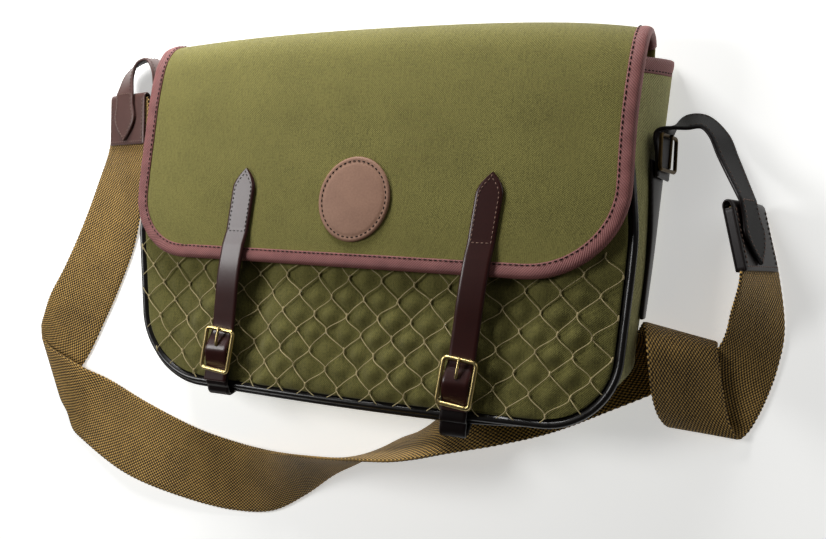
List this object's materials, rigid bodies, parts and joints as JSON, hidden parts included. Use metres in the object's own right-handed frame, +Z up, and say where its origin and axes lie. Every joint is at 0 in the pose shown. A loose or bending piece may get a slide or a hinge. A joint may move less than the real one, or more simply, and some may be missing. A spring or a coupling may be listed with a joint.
{
  "type": "game bag",
  "caption": "Canvas game bag lying on its back, with a net front pocket, leather bound flap on buckled straps and a webbing shoulder strap laid round it.",
  "frame": {"origin": "on the surface that the bag lies on, under the middle of the bag with its laid strap", "axes": "+X across the bag to its right as seen from its front, +Y from its bottom to its mouth, +Z up out of its front"},
  "size_m": [0.5614, 0.3512, 0.0595],
  "materials": {
    "canvas": "olive woven canvas",
    "gusset_canvas": "olive woven canvas",
    "binding_leather": "soft mauve-brown",
    "piping_leather": "glossy black",
    "tab_leather": "glossy near black",
    "badge_leather": "matt pinkish tan",
    "strap_leather": "glossy oxblood",
    "cover_leather": "brown-mauve",
    "brass": "polished",
    "webbing": "coarse tan weave",
    "twine": "knotted twine"
  },
  "bodies": {
    "root": {"back_panel": "canvas", "front_panel": "canvas", "gusset": "gusset_canvas", "front_piping": "piping_leather", "gusset_binding_left": "binding_leather", "gusset_binding_right": "binding_leather", "flap": "canvas", "flap_binding": "binding_leather", "badge": "badge_leather", "flap_strap_left": "strap_leather", "buckle_left": "brass", "prong_left": "brass", "buckle_tab_left": "tab_leather", "flap_strap_right": "strap_leather", "buckle_right": "brass", "prong_right": "brass", "buckle_tab_right": "tab_leather", "net": "twine", "webbing": "webbing", "side_billet_left": "strap_leather", "strap_cover_left": "cover_leather", "strap_end_left": "strap_leather", "side_buckle_left": "brass", "side_billet_right": "strap_leather", "strap_cover_right": "cover_leather", "strap_end_right": "strap_leather", "side_buckle_right": "brass"}
  },
  "joints": []
}
